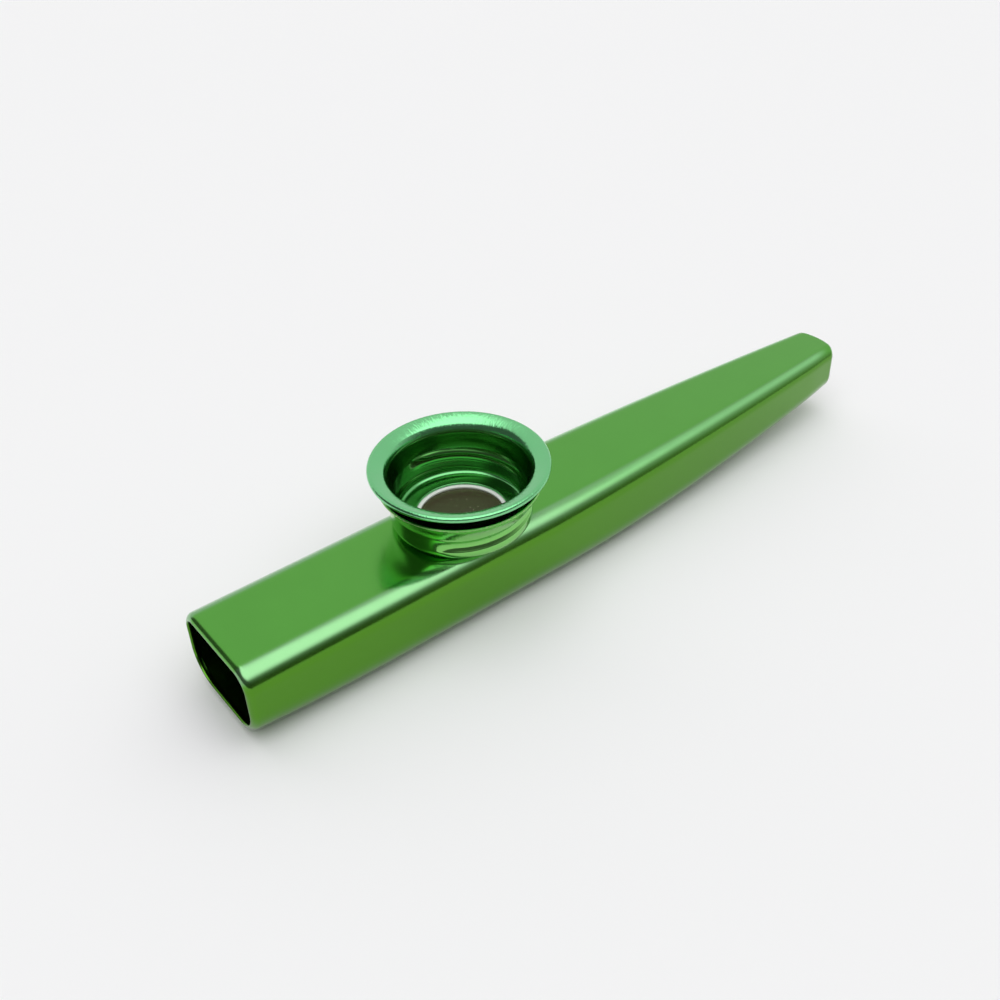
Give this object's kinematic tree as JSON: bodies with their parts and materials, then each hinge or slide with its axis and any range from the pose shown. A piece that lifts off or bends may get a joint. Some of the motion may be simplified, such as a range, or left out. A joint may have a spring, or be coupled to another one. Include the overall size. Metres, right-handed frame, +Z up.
{
  "type": "metal kazoo",
  "caption": "Green metal kazoo: a thin tapered tube with a wide open end, a round mouthpiece end and a bell-mouthed screw cap over a buzzing film.",
  "frame": {"origin": "On the surface that the tube rests on, under the middle of its length and width.", "axes": "+X runs along the tube from the wide open end towards the mouthpiece. +Z is up, on the cap's side. +Y completes a right-handed frame."},
  "size_m": [0.119, 0.026, 0.023],
  "materials": {
    "green_tube": "satin green anodised, fine rolled grain",
    "green_cup": "glossy green anodised",
    "green_cap": "glossy green anodised",
    "white_ring": "matt white",
    "film": "thin clear film, brownish over the dark bore"
  },
  "bodies": {
    "root": {"body": "green_tube", "cup": "green_cup"},
    "membrane": {"membrane_ring": "white_ring", "membrane_film": "film"},
    "cap": {"cap": "green_cap"}
  },
  "joints": [
    {"name": "cap_turn", "type": "hinge", "parent": "root", "child": "membrane", "pos_m": [-0.019, 0, 0.0132], "axis": [0, 0, 1], "range_deg": [0, 900]},
    {"name": "cap_lift", "type": "slide", "parent": "membrane", "child": "cap", "axis": [0, 0, 1], "range_m": [0, 0.0078]}
  ],
  "couplings": [
    {"joint": "cap_lift", "follows": "cap_turn", "m_per_rad": 0.00049338}
  ]
}
